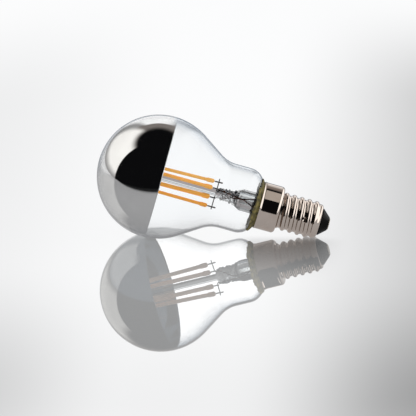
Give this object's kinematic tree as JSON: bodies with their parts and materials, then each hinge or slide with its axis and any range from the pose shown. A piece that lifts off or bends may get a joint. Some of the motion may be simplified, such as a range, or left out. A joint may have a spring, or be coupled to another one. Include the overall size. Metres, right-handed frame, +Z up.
{
  "type": "led filament bulb",
  "caption": "Clear drop-shaped LED filament lamp with a mirrored crown and a nickel-plated small screw cap, lying on its side.",
  "frame": {"origin": "centre of the box's underside, on the surface that the lamp lies on", "axes": "+X along the lying lamp towards its cap, +Z up; the lamp's own axis lies in the XZ plane and slopes down to the cap"},
  "size_m": [0.0847, 0.045, 0.045],
  "materials": {
    "clear_glass": "clear polished",
    "silver_mirror": "polished",
    "phosphor": "satin",
    "nickel_wire": "satin",
    "cement": "matt",
    "nickel_plate": "bright plated",
    "black_glass": "gloss",
    "contact_brass": "tinned",
    "board_laminate": "satin",
    "black_epoxy": "matt",
    "capacitor_sleeve": "gloss"
  },
  "bodies": {
    "root": {"basing_cement": "cement", "bridge_rectifier": "black_epoxy", "cap_shell": "nickel_plate", "centre_contact": "contact_brass", "contact_wire": "nickel_wire", "driver_board": "board_laminate", "filament_1": "phosphor", "filament_2": "phosphor", "filament_3": "phosphor", "filament_4": "phosphor", "filament_pin_1_foot": "nickel_wire", "filament_pin_1_head": "nickel_wire", "filament_pin_2_foot": "nickel_wire", "filament_pin_2_head": "nickel_wire", "filament_pin_3_foot": "nickel_wire", "filament_pin_3_head": "nickel_wire", "filament_pin_4_foot": "nickel_wire", "filament_pin_4_head": "nickel_wire", "glass_envelope": "clear_glass", "glass_stem": "clear_glass", "insulator": "black_glass", "lead_wire_a": "nickel_wire", "lead_wire_b": "nickel_wire", "mirror_coating": "silver_mirror", "regulator_chip": "black_epoxy", "shell_wire": "nickel_wire", "smoothing_capacitor": "capacitor_sleeve", "top_bridge": "nickel_wire"}
  },
  "joints": []
}
